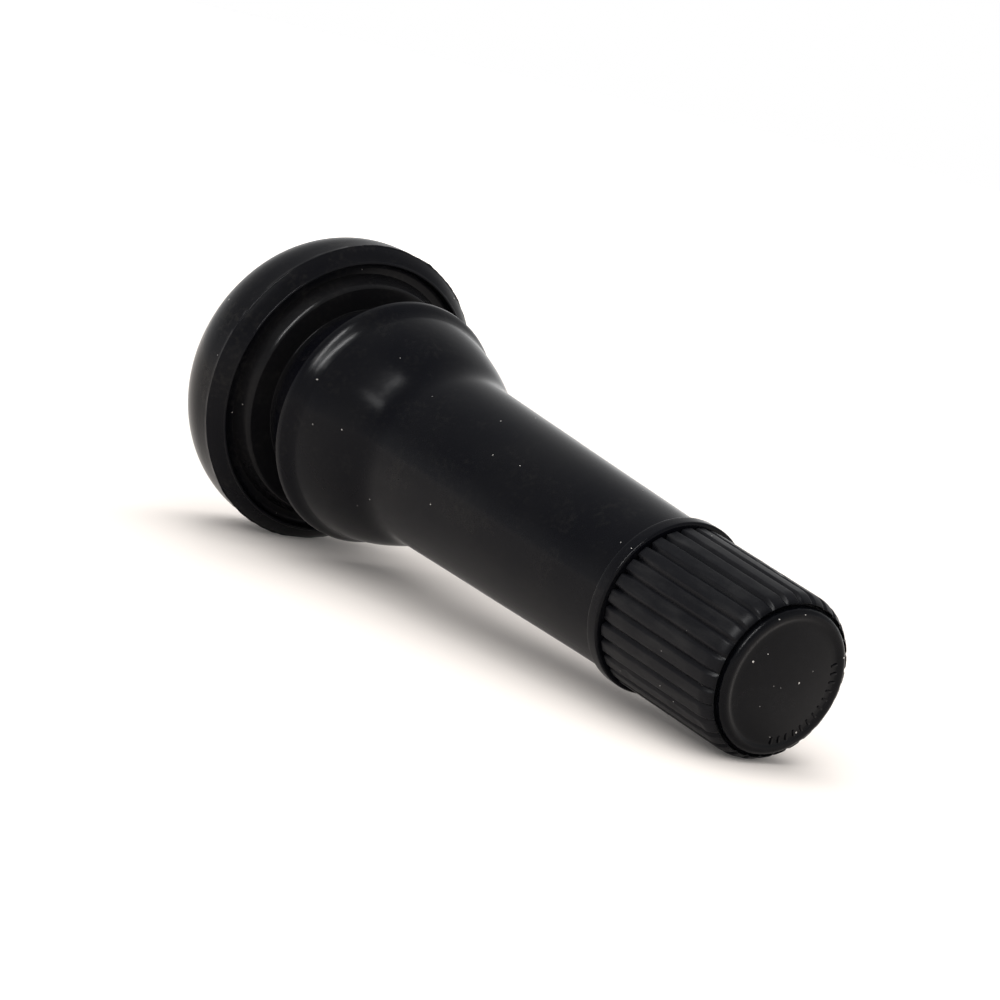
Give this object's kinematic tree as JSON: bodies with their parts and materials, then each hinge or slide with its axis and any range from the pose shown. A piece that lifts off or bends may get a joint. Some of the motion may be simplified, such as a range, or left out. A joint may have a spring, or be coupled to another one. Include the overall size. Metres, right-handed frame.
{
  "type": "tyre valve",
  "caption": "Snap-in tubeless tyre valve: rubber head, rim groove, bulb and tapering stem on a brass tube with its valve core, closed by a ribbed screw-on dust cap.",
  "frame": {"origin": "centre of the flat base of the rubber head", "axes": "+Z along the valve's axis, from the head to the dust cap; +X and +Y across it"},
  "size_m": [0.0197, 0.0196, 0.0507],
  "materials": {
    "black_rubber": "satin",
    "brass": "satin",
    "gasket": "matte",
    "seal_rubber": "matte",
    "spring_steel": "satin",
    "black_plastic": "satin"
  },
  "bodies": {
    "valve": {"rubber_body": "black_rubber", "brass_stem": "brass", "core_plug": "brass", "core_barrel": "brass", "barrel_gasket": "gasket", "core_spring": "spring_steel"},
    "pin": {"core_pin": "brass", "core_cup": "brass", "cup_seal": "seal_rubber"},
    "washer": {"cap_seal": "seal_rubber"},
    "cap": {"dust_cap": "black_plastic"}
  },
  "joints": [
    {"name": "pin_press", "type": "slide", "parent": "valve", "child": "pin", "axis": [0, 0, -1], "range_m": [0, 0.0013], "stiffness_N_per_m": 600, "springref_m": -0.002, "deforming": ["core_spring"]},
    {"name": "cap_rise", "type": "slide", "parent": "valve", "child": "washer", "axis": [0, 0, 1], "range_m": [0, 0.00834]},
    {"name": "cap_turn", "type": "hinge", "parent": "washer", "child": "cap", "pos_m": [0, 0, 0.0405], "axis": [0, 0, 1], "range_deg": [0, 3780]}
  ],
  "couplings": [
    {"joint": "cap_turn", "follows": "cap_rise", "rad_per_m": 7913.3}
  ]
}
